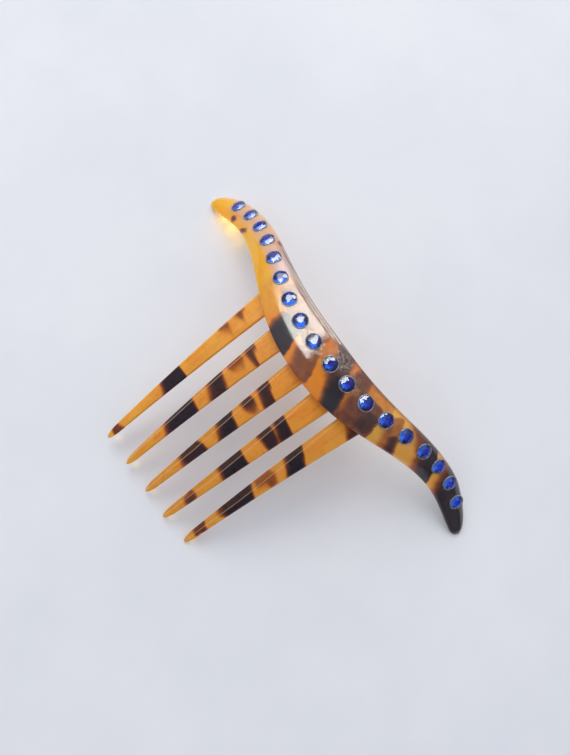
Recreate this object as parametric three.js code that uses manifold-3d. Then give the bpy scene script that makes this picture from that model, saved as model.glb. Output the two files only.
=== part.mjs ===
// Decorative hair comb: a domed, arched crest set with rhinestones, cemented over a sawn tooth plate.
// Millimetres. +X runs along the crest, the teeth point along -Y, +Z is up.
// The comb lies as it does on a table, on the two crest tips and the lowest tooth tip.
import * as THREE from 'three';
import { mergeVertices } from 'three/addons/utils/BufferGeometryUtils.js';
import Module from 'manifold-3d';

const wasm = await Module();
wasm.setup();

// Crest: plan outline and arch, measured from the highest point of its middle.
const HALF_SPAN = 63.2;          // middle to either tip, along X
const ARCH_RADIUS = 70.2;        // bend of the middle stretch
const TIP_SLOPE = THREE.MathUtils.degToRad(34.5);  // past the bend the wings run straight
const LOWER_MIDDLE = -8.2;       // tooth side edge in the middle
const LOWER_WING = 6.4;          // tooth side edge at the wings
const LOWER_SHOULDER = 50;       // where the tooth side edge levels out
const LOWER_HOOK = 0.8;          // how far that edge falls back towards the teeth at the tip
const LOWER_DELAY = 1.15;        // above 1, the edge stays by the teeth for longer
const UPPER_MIDDLE = 6.5;        // hair side edge in the middle
const UPPER_WING = 14.6;         // hair side edge at the wings, the furthest point from the teeth
const UPPER_SHOULDER = 49;       // where the hair side edge turns into the rounded tip
const UPPER_DELAY = 1.3;
const LEFT_TIP_POWER = 2.2;      // 2 would make a rounded tip a quarter ellipse
const RIGHT_TIP_POWER = 1.35;    // the right tip is filed slimmer
const TIP_Y = 7.4;               // the tips' end point
const TIP_ROUND = 2.6;           // length of the rounded nose on the tooth side
const CREST_OFFSET = 0.9;        // the dome's ridge lies this far above the middle of the band
const OFFSET_WIDTH = 8;          // or less, where the band is narrower than this
const CREST_THICKNESS = 3.2;     // at the ridge, in the middle
const WING_THICKNESS = 2.5;      // at the ridge, at the shoulders
const TIP_THICKNESS = 1.2;
const EDGE_SHARE = 0.34;         // edge thickness as a share of the ridge thickness
const LAST_STATION = 0.999;      // the outermost section, as a share of the half span

// Rhinestones and their seats.
const STONE_PAIRS = 9;
const STONE_STEP = 6.5;          // along the arch, in the middle
const STONE_STEP_GROWTH = 0.065; // each step further out is a little longer
const FIRST_STONE_SHARE = 0.54;  // middle to the first stone, in steps
const STONE_RADIUS = 1.95;
const TABLE_RADIUS = 0.9;
const CROWN_HEIGHT = 0.62;
const GIRDLE_HEIGHT = 0.12;
const PAVILION_DEPTH = 1.2;
const FOIL_THICKNESS = 0.14;
const CEMENT_WALL = 0.2;
const FIT_GAP = 0.06;            // clearance between nested pieces
const SEAT_DEPTH = 1.82;
const SEAT_POINT_SHARE = 0.35;   // radius of the seat's flat bottom, as a share of its full radius
const ROUND_SIDES = 12;

// Tooth plate: a hidden spine under the crest and five teeth.
const TOOTH_ROOTS = [-20.9, -10.4, -0.2, 9.5, 18.8];  // centre lines at the root, along X
const TOOTH_TIPS = [-18.3, -9.15, 0.4, 9.3, 18.4];    // and at the tip
const TOOTH_BOWS = [0, 0, 0, 0, -0.5];                // sideways bow in between
const TOOTH_ROOT_WIDTH = 6.6;
const TOOTH_TIP_WIDTH = 2.1;
const TOOTH_THICKNESS = 1.8;     // at the root
const TOOTH_TIP_THICKNESS = 1.1;
const ROOT_STEP = 0.15;          // the teeth are scraped this much lower than the spine
const TOOTH_SIDE_SHARE = 0.55;   // height of the sharpest line of the side, from the underside
const TOOTH_POINT_SHARE = 0.4;   // thickness left at the very point
const TOOTH_ROLL = 0.142;        // each tooth leans over with the arch, this much per pitch
const ROOT_BEVEL_SHARE = 0.086;  // width of the left upper bevel at the root, as a share of the tooth's
const WORN_BEVEL_SHARES = [0.05, 0.24, 0.4, 0.43, 0.5];  // and further out, tooth by tooth
const BEVEL_FULL_AT = 0.65;      // share of the length where it has grown to that width
const RIGHT_BEVEL = 0.35;
const RIGHT_BEVEL_SHARE = 0.12;  // and on a narrow tooth, as a share of its width
const FOOT_BEVEL = 0.15;         // along each lower edge
const FOOT_BEVEL_SHARE = 0.08;
const TOOTH_END_Y = -59.2;
const TIP_WEAR = [0, 0, 0, 0, 0.95];
const TOOTH_NOSE = 4;            // length of the rounded point
const TOOTH_ROOT_SLOPE = 0.21;   // the teeth leave the crest at 12 degrees
const TOOTH_OVERLAP = 4;         // length of tooth root merged with the spine
const TIP_HEIGHTS = [3.1, 2.1, 1.1, 0.8, 0.02];  // undersides above the table, warped with age
const SPINE_HALF_LENGTH = 24.6;
const SPINE_WIDTH = 8.5;
const SPINE_THICKNESS = 2.1;
const SPINE_SETBACK = 1.6;       // the spine's edge lies this far inside the crest's edge
const BACK_FLAT = 5;             // half length of the flat scraped on the middle of the back
const SEAM_THICKNESS = 0.3;
const SEAM_INSET = 0.5;

const celluloid = new THREE.Color(0xc8842c);
const toothAmber = new THREE.Color(0xd99a34);
const sapphire = new THREE.Color(0x1a47c8);
const silver = new THREE.Color(0xb9c0cc);
const cementCream = new THREE.Color(0xc9bfae);

function material(color, roughness, metalness) {
  return new THREE.MeshStandardMaterial({ color, roughness, metalness });
}

// How far the crest's ridge has dropped at x.
function archDrop(x) {
  const bendEnd = ARCH_RADIUS * Math.sin(TIP_SLOPE);
  const inside = Math.min(Math.abs(x), bendEnd);
  const straight = Math.abs(x) - inside;
  return ARCH_RADIUS - Math.sqrt(ARCH_RADIUS ** 2 - inside ** 2) + straight * Math.tan(TIP_SLOPE);
}

// A soft step from 0 to 1; a power above 1 starts it later.
function ease(share, power) {
  const clamped = Math.min(Math.max(share, 0), 1);
  return (1 - Math.cos(Math.PI * clamped ** power)) / 2;
}

// Tooth side edge of the crest: a belly in the middle, level wings, and a rounded nose.
function lowerEdge(x) {
  const reach = Math.abs(x);
  const hook = LOWER_HOOK * ease((reach - LOWER_SHOULDER) / (HALF_SPAN - LOWER_SHOULDER), 1);
  const edge = LOWER_MIDDLE + (LOWER_WING - LOWER_MIDDLE) * ease(reach / LOWER_SHOULDER, LOWER_DELAY) - hook;
  const nose = Math.max(0, 1 - (HALF_SPAN - reach) / TIP_ROUND);
  return edge + (TIP_Y - edge) * (1 - Math.sqrt(Math.max(0, 1 - nose ** 2)));
}

// Hair side edge of the crest: a shallow dip in the middle and a rounded fall to the tip.
function upperEdge(x) {
  const reach = Math.abs(x);
  if (reach > UPPER_SHOULDER) {
    const share = (reach - UPPER_SHOULDER) / (HALF_SPAN - UPPER_SHOULDER);
    const power = x < 0 ? LEFT_TIP_POWER : RIGHT_TIP_POWER;
    return TIP_Y + (UPPER_WING - TIP_Y) * Math.sqrt(Math.max(0, 1 - share ** power));
  }
  return UPPER_MIDDLE + (UPPER_WING - UPPER_MIDDLE) * ease(reach / UPPER_SHOULDER, UPPER_DELAY);
}

function ridgeLine(x) {
  const low = lowerEdge(x);
  const high = upperEdge(x);
  const offset = CREST_OFFSET * Math.min(1, (high - low) / OFFSET_WIDTH);
  return (low + high) / 2 + offset;
}

// Thickness at the ridge, square to the arch.
function ridgeThickness(x) {
  const reach = Math.abs(x);
  if (reach < UPPER_SHOULDER) {
    return CREST_THICKNESS + (WING_THICKNESS - CREST_THICKNESS) * (reach / UPPER_SHOULDER) ** 2;
  }
  const share = (reach - UPPER_SHOULDER) / (HALF_SPAN - UPPER_SHOULDER);
  return WING_THICKNESS + (TIP_THICKNESS - WING_THICKNESS) * share ** 2;
}

function slopeAt(x) {
  return Math.min(Math.asin(Math.min(Math.abs(x) / ARCH_RADIUS, 1)), TIP_SLOPE);
}

function undersideZ(x) {
  return -archDrop(x) - ridgeThickness(x) / Math.cos(slopeAt(x));
}

// The crest's highest point, above the table that its two tips rest on.
const ARCH_HEIGHT = -undersideZ(HALF_SPAN * LAST_STATION);
// Puts the origin below the middle of the box.
const MIDDLE_Y = (UPPER_WING + TOOTH_END_Y) / 2;

// Skin a list of equal rings of points, with a cap on the first and the last, into a closed body.
function loft(rings) {
  const count = rings[0].length;
  const positions = rings.flat().flatMap((point) => [point.x, point.y, point.z]);
  const index = [];
  for (let ring = 0; ring + 1 < rings.length; ring += 1) {
    for (let side = 0; side < count; side += 1) {
      const next = (side + 1) % count;
      const a = ring * count + side;
      const b = ring * count + next;
      index.push(a, a + count, b, b, a + count, b + count);
    }
  }
  const outline = rings[0].map((_, i) => i);
  const last = (rings.length - 1) * count;
  for (let i = 1; i + 1 < outline.length; i += 1) {
    index.push(0, i, i + 1);
    index.push(last, last + i + 1, last + i);
  }
  const geometry = new THREE.BufferGeometry();
  geometry.setAttribute('position', new THREE.Float32BufferAttribute(positions, 3));
  geometry.setIndex(index);
  return geometry;
}

function toSolid(geometry) {
  const bare = geometry.clone();
  bare.deleteAttribute('normal');
  bare.deleteAttribute('uv');
  const merged = mergeVertices(bare, 1e-4);
  return new wasm.Manifold(new wasm.Mesh({
    numProp: 3,
    vertProperties: new Float32Array(merged.attributes.position.array),
    triVerts: new Uint32Array(merged.index.array),
  }));
}

function toGeometry(solid) {
  const mesh = solid.getMesh();
  const geometry = new THREE.BufferGeometry();
  geometry.setAttribute('position', new THREE.BufferAttribute(mesh.vertProperties, 3));
  geometry.setIndex(new THREE.BufferAttribute(mesh.triVerts, 1));
  geometry.computeVertexNormals();
  return geometry;
}

// Stations along X, even in the middle and closer together where the tips round off.
function crestStations() {
  const perSide = 20;
  const stations = [];
  for (let i = -perSide; i <= perSide; i += 1) {
    stations.push(HALF_SPAN * LAST_STATION * Math.sin(i / perSide * Math.PI / 2));
  }
  return stations;
}

// One upright section of the crest: a flat underside and a domed top.
function crestSection(x) {
  const low = lowerEdge(x);
  const high = upperEdge(x);
  const ridge = ridgeLine(x);
  const bottom = undersideZ(x);
  const rise = -archDrop(x) - bottom;
  const domeSteps = 8;
  const points = [new THREE.Vector3(x, high, bottom), new THREE.Vector3(x, low, bottom)];
  for (let i = 0; i <= domeSteps; i += 1) {
    const across = -1 + 2 * i / domeSteps;
    const y = across < 0 ? ridge + across * (ridge - low) : ridge + across * (high - ridge);
    const height = EDGE_SHARE + (1 - EDGE_SHARE) * (1 - across ** 2);
    points.push(new THREE.Vector3(x, y, bottom + rise * height));
  }
  return points;
}

// Where each rhinestone sits: on the ridge, square to the arch, at steps along the arch.
function stoneSeats() {
  const reaches = [];
  for (let pair = 0; pair < STONE_PAIRS; pair += 1) {
    const along = STONE_STEP * (pair + FIRST_STONE_SHARE) + STONE_STEP_GROWTH * pair ** 2;
    const bendLength = ARCH_RADIUS * TIP_SLOPE;
    const bend = Math.min(along, bendLength) / ARCH_RADIUS;
    const straight = Math.max(0, along - bendLength);
    reaches.push(ARCH_RADIUS * Math.sin(bend) + straight * Math.cos(TIP_SLOPE));
  }
  const positions = [...reaches.map((reach) => -reach).reverse(), ...reaches];
  return positions.map((x) => ({
    position: new THREE.Vector3(x, ridgeLine(x), -archDrop(x)),
    tilt: Math.sign(x) * slopeAt(x),
  }));
}

// Turn a profile of [radius, height] points round the stone's own axis.
function turned(profile) {
  const geometry = new THREE.LatheGeometry(profile.map(([r, z]) => new THREE.Vector2(r, z)), ROUND_SIDES);
  geometry.rotateX(Math.PI / 2);
  return geometry;
}

const seatRadius = STONE_RADIUS + CEMENT_WALL + 2 * FIT_GAP;
const foilDepth = PAVILION_DEPTH + FIT_GAP;
const cementDepth = foilDepth + FOIL_THICKNESS + FIT_GAP;

function seatCutter() {
  const aboveSurface = 1.5;
  return turned([
    [0, -SEAT_DEPTH],
    [seatRadius * SEAT_POINT_SHARE, -SEAT_DEPTH],
    [seatRadius, -FOIL_THICKNESS - CEMENT_WALL],
    [seatRadius, aboveSurface],
    [0, aboveSurface],
  ]);
}

function stoneShape() {
  return turned([
    [0, -PAVILION_DEPTH],
    [STONE_RADIUS, 0],
    [STONE_RADIUS, GIRDLE_HEIGHT],
    [TABLE_RADIUS, CROWN_HEIGHT],
    [0, CROWN_HEIGHT],
  ]);
}

function foilShape() {
  return turned([
    [0, -foilDepth - FOIL_THICKNESS],
    [STONE_RADIUS, -FIT_GAP - FOIL_THICKNESS],
    [STONE_RADIUS, -FIT_GAP],
    [0, -foilDepth],
  ]);
}

function cementShape() {
  const inner = STONE_RADIUS + FIT_GAP;
  const outer = inner + CEMENT_WALL;
  return turned([
    [0, -SEAT_DEPTH + FIT_GAP],
    [seatRadius * SEAT_POINT_SHARE - FIT_GAP, -SEAT_DEPTH + FIT_GAP],
    [outer, -FOIL_THICKNESS - CEMENT_WALL + FIT_GAP],
    [outer, GIRDLE_HEIGHT],
    [inner, GIRDLE_HEIGHT],
    [inner, -2 * FIT_GAP - FOIL_THICKNESS],
    [0, -cementDepth],
  ]);
}

function crestBand() {
  let solid = toSolid(loft(crestStations().map(crestSection)));
  const cutter = toSolid(seatCutter());
  for (const seat of stoneSeats()) {
    const degrees = THREE.MathUtils.radToDeg(seat.tilt);
    solid = solid.subtract(cutter.rotate([0, degrees, 0]).translate(seat.position.toArray()));
  }
  return toGeometry(solid);
}

// Stations along X for the layers under the crest, with the flat in the middle as one facet.
function layerStations(halfLength) {
  const perSide = 6;
  const stations = [];
  for (let i = 0; i <= perSide; i += 1) {
    stations.push(BACK_FLAT + (halfLength - BACK_FLAT) * i / perSide);
  }
  return [...stations.map((x) => -x).reverse(), ...stations];
}

// The top of a layer under the crest, level over the flat in the middle.
function layerTop(x, depth) {
  const lift = ridgeThickness(BACK_FLAT) / Math.cos(slopeAt(BACK_FLAT));
  const fromBand = Math.abs(x) > BACK_FLAT ? undersideZ(x) : -archDrop(BACK_FLAT) - lift;
  return fromBand - depth;
}

function bentLayer(halfLength, depth, thickness, inset) {
  return loft(layerStations(halfLength).map((x) => {
    const front = lowerEdge(x) + SPINE_SETBACK + inset;
    const back = front + SPINE_WIDTH - 2 * inset;
    const top = layerTop(x, depth);
    return [
      new THREE.Vector3(x, back, top - thickness),
      new THREE.Vector3(x, front, top - thickness),
      new THREE.Vector3(x, front, top),
      new THREE.Vector3(x, back, top),
    ];
  }));
}

const spineDepth = SEAM_THICKNESS + 2 * FIT_GAP;

function cementSeam() {
  return bentLayer(SPINE_HALF_LENGTH - SEAM_INSET, FIT_GAP, SEAM_THICKNESS, SEAM_INSET);
}

// Distances along a tooth from its root: even down to its point, then closer together.
function toothStations(length) {
  const evenSteps = 8;
  const evenEnd = length - TOOTH_NOSE * 1.5;
  const stations = [-TOOTH_OVERLAP];
  for (let step = 0; step <= evenSteps; step += 1) {
    stations.push(evenEnd * step / evenSteps);
  }
  for (const noseShare of [1, 0.68, 0.35, 0.12, 0.01]) {
    stations.push(length - TOOTH_NOSE * noseShare);
  }
  return stations;
}

// One tooth: flat underneath, bevelled above, bending down and narrowing to a rounded point.
function tooth(number) {
  const side = number - 2;
  const rootX = TOOTH_ROOTS[number];
  const rootY = lowerEdge(rootX) + SPINE_SETBACK;
  const tipX = TOOTH_TIPS[number];
  const length = rootY - TOOTH_END_Y - TIP_WEAR[number];
  const roll = side * TOOTH_ROLL;
  const rootTop = layerTop(rootX, spineDepth) - ROOT_STEP;
  const tipTop = TIP_HEIGHTS[number] + TOOTH_TIP_THICKNESS - ARCH_HEIGHT;
  const curve = (rootTop - tipTop - TOOTH_ROOT_SLOPE * length) / length ** 2;
  return loft(toothStations(length).map((along) => {
    const share = Math.max(0, along) / length;
    const nose = Math.max(0, 1 - (length - along) / TOOTH_NOSE);
    const taper = Math.sqrt(1 - nose ** 2);
    const width = (TOOTH_ROOT_WIDTH + (TOOTH_TIP_WIDTH - TOOTH_ROOT_WIDTH) * share) * taper;
    const fullThickness = TOOTH_THICKNESS + (TOOTH_TIP_THICKNESS - TOOTH_THICKNESS) * share;
    const thickness = fullThickness * (TOOTH_POINT_SHARE + (1 - TOOTH_POINT_SHARE) * taper);
    const wornShare = WORN_BEVEL_SHARES[number] - ROOT_BEVEL_SHARE;
    const left = width * (ROOT_BEVEL_SHARE + wornShare * Math.min(1, share / BEVEL_FULL_AT));
    const right = Math.min(RIGHT_BEVEL, width * RIGHT_BEVEL_SHARE);
    const foot = Math.min(FOOT_BEVEL, width * FOOT_BEVEL_SHARE);
    const bow = 4 * TOOTH_BOWS[number] * share * (1 - share);
    const centreX = rootX + (tipX - rootX) * share + bow;
    const beyond = Math.max(0, along);
    const underside = rootTop - fullThickness - TOOTH_ROOT_SLOPE * beyond - curve * beyond ** 2;
    const point = (across, height) => (
      new THREE.Vector3(centreX + across, rootY - along, underside + height - roll * across)
    );
    return [
      point(-width / 2, thickness * TOOTH_SIDE_SHARE),
      point(-width / 2 + left, thickness),
      point(width / 2 - right, thickness),
      point(width / 2, thickness * TOOTH_SIDE_SHARE),
      point(width / 2 - foot, 0),
      point(-width / 2 + foot, 0),
    ];
  }));
}

function toothComb() {
  let solid = toSolid(bentLayer(SPINE_HALF_LENGTH, spineDepth, SPINE_THICKNESS, 0));
  for (let number = 0; number < TIP_HEIGHTS.length; number += 1) {
    solid = solid.add(toSolid(tooth(number)));
  }
  return toGeometry(solid);
}

const comb = new THREE.Group();
comb.position.set(0, -MIDDLE_Y, ARCH_HEIGHT);

function addPiece(name, geometry, pieceMaterial, parent = comb) {
  const mesh = new THREE.Mesh(geometry, pieceMaterial);
  mesh.name = name;
  parent.add(mesh);
}

addPiece('crest_band', crestBand(), material(celluloid, 0.18, 0));
addPiece('tooth_comb', toothComb(), material(toothAmber, 0.22, 0));
addPiece('cement_seam', cementSeam(), material(cementCream, 0.6, 0));

stoneSeats().forEach((seat, index) => {
  const label = String(index + 1).padStart(2, '0');
  const setting = new THREE.Group();
  setting.position.copy(seat.position);
  setting.rotation.y = seat.tilt;
  comb.add(setting);
  addPiece(`rhinestone_${label}`, stoneShape(), material(sapphire, 0.05, 0), setting);
  addPiece(`foil_backing_${label}`, foilShape(), material(silver, 0.25, 1), setting);
  addPiece(`stone_cement_${label}`, cementShape(), material(cementCream, 0.6, 0), setting);
});

export default comb;
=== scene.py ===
import math

import bpy
import numpy as np
from mathutils import Matrix, Vector


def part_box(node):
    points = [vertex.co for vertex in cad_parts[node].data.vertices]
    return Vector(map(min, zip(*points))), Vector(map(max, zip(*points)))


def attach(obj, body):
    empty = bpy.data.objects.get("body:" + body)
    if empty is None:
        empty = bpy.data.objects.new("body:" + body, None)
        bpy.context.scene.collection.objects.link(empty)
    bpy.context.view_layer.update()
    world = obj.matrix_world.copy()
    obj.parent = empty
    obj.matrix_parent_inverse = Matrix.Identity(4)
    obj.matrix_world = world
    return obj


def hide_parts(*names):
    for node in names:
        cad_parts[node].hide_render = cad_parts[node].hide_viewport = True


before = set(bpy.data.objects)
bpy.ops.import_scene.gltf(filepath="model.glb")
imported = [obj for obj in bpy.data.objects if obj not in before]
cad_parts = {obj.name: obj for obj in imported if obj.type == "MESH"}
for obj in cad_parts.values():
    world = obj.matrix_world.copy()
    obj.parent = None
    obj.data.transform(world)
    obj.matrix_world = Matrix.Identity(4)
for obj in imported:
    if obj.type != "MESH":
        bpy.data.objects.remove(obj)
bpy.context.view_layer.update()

# A decorative hair comb: a domed celluloid crest set with foil-backed rhinestones, cemented over a tooth
# plate. Shapes are worked out in millimetres in the comb's own axes, with the origin on top of the crest's
# middle: +X along the crest, teeth along -Y, +Z up. place() moves them into the frame, in metres.
MM = 0.001

# ---- driving sizes, as in the CAD part
ARCH_RADIUS = 70.2
TIP_SLOPE = math.radians(34.5)
LOWER_MIDDLE, LOWER_WING, LOWER_SHOULDER, LOWER_HOOK = -8.2, 6.4, 50.0, 0.8
LOWER_DELAY = 1.15
UPPER_MIDDLE, UPPER_WING, UPPER_SHOULDER = 6.5, 14.6, 49.0
UPPER_DELAY, LEFT_TIP_POWER, RIGHT_TIP_POWER = 1.3, 2.2, 1.35
TIP_Y, TIP_ROUND = 7.4, 2.6
CREST_OFFSET, OFFSET_WIDTH = 0.9, 8.0
CREST_THICKNESS, WING_THICKNESS, TIP_THICKNESS = 3.2, 2.5, 1.2
EDGE_SHARE = 0.34
LAST_STATION = 0.999   # the CAD crest's outermost section, as a share of its half span

STONE_COUNT = 18
STONE_RADIUS, TABLE_RADIUS, CROWN_HEIGHT = 1.95, 0.9, 0.62
GIRDLE_HEIGHT, PAVILION_DEPTH = 0.12, 1.2
FOIL_THICKNESS, CEMENT_WALL, FIT_GAP, SEAT_DEPTH = 0.14, 0.2, 0.06, 1.82

TOOTH_ROOTS, TOOTH_TIPS = [-20.9, -10.4, -0.2, 9.5, 18.8], [-18.3, -9.15, 0.4, 9.3, 18.4]
TOOTH_BOWS = [0.0, 0.0, 0.0, 0.0, -0.5]
TOOTH_ROOT_WIDTH, TOOTH_TIP_WIDTH = 6.6, 2.1
TOOTH_THICKNESS, TOOTH_TIP_THICKNESS, ROOT_STEP = 1.8, 1.1, 0.15
TOOTH_SIDE_SHARE, TOOTH_POINT_SHARE, TOOTH_ROLL = 0.55, 0.4, 0.142
TOOTH_END_Y, TOOTH_NOSE, TOOTH_OVERLAP = -59.2, 4.0, 4.0
TOOTH_ROOT_SLOPE = 0.21
MIDDLE_TOOTH = 2       # its face lies level; the other teeth's faces tilt with the arch
ROOT_BEVEL_SHARE, WORN_BEVEL_SHARES, BEVEL_FULL_AT = 0.086, [0.05, 0.24, 0.4, 0.43, 0.5], 0.65
RIGHT_BEVEL, RIGHT_BEVEL_SHARE, FOOT_BEVEL, FOOT_BEVEL_SHARE = 0.35, 0.12, 0.15, 0.08
TIP_WEAR = [0.0, 0.0, 0.0, 0.0, 0.95]
TIP_HEIGHTS = [3.1, 2.1, 1.1, 0.8, 0.02]
SPINE_HALF_LENGTH, SPINE_WIDTH, SPINE_THICKNESS, SPINE_SETBACK = 24.6, 8.5, 2.1, 1.6
BACK_FLAT, SEAM_THICKNESS, SEAM_INSET = 5.0, 0.3, 0.5

_, crest_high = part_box("crest_band")
HALF_SPAN = crest_high.x / MM / LAST_STATION
ORIGIN = Vector((0.0, crest_high.y / MM - UPPER_WING, crest_high.z / MM))


def place(points):
    """Points in the comb's millimetres, as frame points in metres."""
    return (np.asarray(points, float) + np.array(ORIGIN)) * MM


# ---- the crest's outline and arch
def arch_drop(x):
    """How far the arch has dropped at x, below the top of the crest's middle."""
    bend_end = ARCH_RADIUS * math.sin(TIP_SLOPE)
    inside = min(abs(x), bend_end)
    straight = abs(x) - inside
    return ARCH_RADIUS - math.sqrt(ARCH_RADIUS**2 - inside**2) + straight * math.tan(TIP_SLOPE)


def slope_at(x):
    """The arch's slope at x, as an angle."""
    return min(math.asin(min(abs(x) / ARCH_RADIUS, 1.0)), TIP_SLOPE)


def ease(share, power=1.0):
    """A soft step from 0 to 1; a power above 1 starts it later."""
    clamped = min(max(share, 0.0), 1.0)
    return (1 - math.cos(math.pi * clamped**power)) / 2


def lower_edge(x):
    """Y of the crest's tooth side edge at x."""
    reach = abs(x)
    hook = LOWER_HOOK * ease((reach - LOWER_SHOULDER) / (HALF_SPAN - LOWER_SHOULDER))
    edge = LOWER_MIDDLE + (LOWER_WING - LOWER_MIDDLE) * ease(reach / LOWER_SHOULDER, LOWER_DELAY) - hook
    nose = max(0.0, 1 - (HALF_SPAN - reach) / TIP_ROUND)
    return edge + (TIP_Y - edge) * (1 - math.sqrt(max(0.0, 1 - nose**2)))


def upper_edge(x):
    """Y of the crest's hair side edge at x."""
    reach = abs(x)
    if reach > UPPER_SHOULDER:
        share = (reach - UPPER_SHOULDER) / (HALF_SPAN - UPPER_SHOULDER)
        power = LEFT_TIP_POWER if x < 0 else RIGHT_TIP_POWER
        return TIP_Y + (UPPER_WING - TIP_Y) * math.sqrt(max(0.0, 1 - share**power))
    return UPPER_MIDDLE + (UPPER_WING - UPPER_MIDDLE) * ease(reach / UPPER_SHOULDER, UPPER_DELAY)


def ridge_line(x):
    """Y of the dome's highest line at x."""
    low, high = lower_edge(x), upper_edge(x)
    return (low + high) / 2 + CREST_OFFSET * min(1.0, (high - low) / OFFSET_WIDTH)


def ridge_thickness(x):
    """The crest's thickness on that line, square to the arch."""
    reach = abs(x)
    if reach < UPPER_SHOULDER:
        return CREST_THICKNESS + (WING_THICKNESS - CREST_THICKNESS) * (reach / UPPER_SHOULDER) ** 2
    share = (reach - UPPER_SHOULDER) / (HALF_SPAN - UPPER_SHOULDER)
    return WING_THICKNESS + (TIP_THICKNESS - WING_THICKNESS) * share**2


def underside(x):
    """Z of the crest's flat back at x."""
    return -arch_drop(x) - ridge_thickness(x) / math.cos(slope_at(x))


# ---- mesh helpers
SMOOTH_BELOW, TOOTH_SMOOTH_BELOW, CEMENT_SMOOTH_BELOW = 40, 32, 50    # degrees between two faces


def smooth(mesh, angle):
    """Shades a mesh smooth, but for edges sharper than the angle in degrees."""
    mesh.shade_smooth()
    mesh.set_sharp_from_angle(angle=math.radians(angle))


def new_object(name, points, faces, smooth_angle=None):
    """A mesh object from frame points in metres, flat shaded unless given an angle to smooth below."""
    mesh = bpy.data.meshes.new(name)
    mesh.from_pydata([tuple(p) for p in points], [], faces)
    mesh.validate()
    mesh.update()
    if smooth_angle is not None:
        smooth(mesh, smooth_angle)
    piece = bpy.data.objects.new(name, mesh)
    bpy.context.scene.collection.objects.link(piece)
    return piece


def loft(rings):
    """Skin equal rings of points into a closed body, capped at both ends."""
    count = len(rings[0])
    points = np.concatenate(rings)
    faces = []
    for ring in range(len(rings) - 1):
        base = ring * count
        for side in range(count):
            after = (side + 1) % count
            faces.append((base + side, base + count + side, base + count + after, base + after))
    last = (len(rings) - 1) * count
    faces.append(tuple(range(count)))
    faces.append(tuple(last + i for i in reversed(range(count))))
    return points, faces


def curve(start, middle, end, steps=4):
    """Points on a smooth bend from start to end that is drawn towards middle."""
    start, middle, end = (np.array(point, float) for point in (start, middle, end))
    shares = np.linspace(0, 1, steps + 1)
    return [(1 - t) ** 2 * start + 2 * t * (1 - t) * middle + t**2 * end for t in shares]


def rounded(corners, radii, steps=3):
    """A closed outline of 2-D corners with each corner replaced by a short curve of its own radius."""
    outline = []
    count = len(corners)
    for i, corner in enumerate(corners):
        corner = np.array(corner, float)
        before = np.array(corners[i - 1], float) - corner
        after = np.array(corners[(i + 1) % count], float) - corner
        reach = min(radii[i], 0.45 * np.linalg.norm(before), 0.45 * np.linalg.norm(after))
        start = corner + before / max(np.linalg.norm(before), 1e-9) * reach
        end = corner + after / max(np.linalg.norm(after), 1e-9) * reach
        outline += curve(start, corner, end, steps)
    return outline


def boolean(piece, cutter, operation):
    """Cut or join with another object, which is then removed."""
    modifier = piece.modifiers.new("join", "BOOLEAN")
    modifier.operation = operation
    modifier.solver = "EXACT"
    modifier.object = cutter
    graph = bpy.context.evaluated_depsgraph_get()
    mesh = bpy.data.meshes.new_from_object(piece.evaluated_get(graph))
    piece.modifiers.clear()
    piece.data = mesh
    bpy.data.objects.remove(cutter)


def joined(points_and_faces):
    """Several bodies as one list of points and faces."""
    points, faces = [], []
    for part_points, part_faces in points_and_faces:
        start = len(points)
        points.extend(part_points)
        faces.extend(tuple(start + i for i in face) for face in part_faces)
    return np.array(points), faces


def circle(count, radius, height, offset=0.0):
    """Evenly spaced points round Z, turned by a share of their spacing."""
    angles = [2 * math.pi * (k + offset) / count for k in range(count)]
    return [(radius * math.cos(angle), radius * math.sin(angle), height) for angle in angles]


def turned(profile, sides, wobble=None):
    """Turn a closed profile of (radius, height) points round Z into a ring-shaped or solid body."""
    rings = []
    for k in range(sides):
        angle = 2 * math.pi * k / sides
        ring = []
        for radius, height in profile:
            lift = wobble(angle, radius) if wobble else 0.0
            ring.append((radius * math.cos(angle), radius * math.sin(angle), height + lift))
        rings.append(ring)
    count = len(profile)
    points = [point for ring in rings for point in ring]
    faces = []
    for k in range(sides):
        base, after = k * count, ((k + 1) % sides) * count
        for i in range(count):
            j = (i + 1) % count
            faces.append((base + i, after + i, after + j, base + j))
    return points, faces


# ---- where the stones sit, read from the frame
def stone_place(number):
    """The stone's own axes in the frame: its axis is the one its CAD solid is round about."""
    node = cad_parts[f"rhinestone_{number:02d}"]
    points = np.array([v.co for v in node.data.vertices], float) / MM
    points = np.unique(points.round(4), axis=0)
    centre = points.mean(0)
    spreads, directions = np.linalg.eigh(np.cov((points - centre).T))
    pair_gap = abs(spreads[1] - spreads[0]) < abs(spreads[2] - spreads[1])
    axis = directions[:, 2] if pair_gap else directions[:, 0]
    axis = axis if axis[2] > 0 else -axis
    top = ((points - centre) @ axis).max()
    seat = centre + axis * (top - CROWN_HEIGHT)
    rotation = Vector((0, 0, 1)).rotation_difference(Vector(axis)).to_matrix().to_4x4()
    return Matrix.Translation(Vector(seat)) @ rotation


STONE_PLACES = {number: stone_place(number) for number in range(1, STONE_COUNT + 1)}


def at_stone(number, points, spin=0.0):
    """Points in a stone's own millimetres, as frame points in metres."""
    matrix = STONE_PLACES[number] @ Matrix.Rotation(spin, 4, "Z")
    return [tuple((matrix @ Vector(p)) * MM) for p in points]


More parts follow.
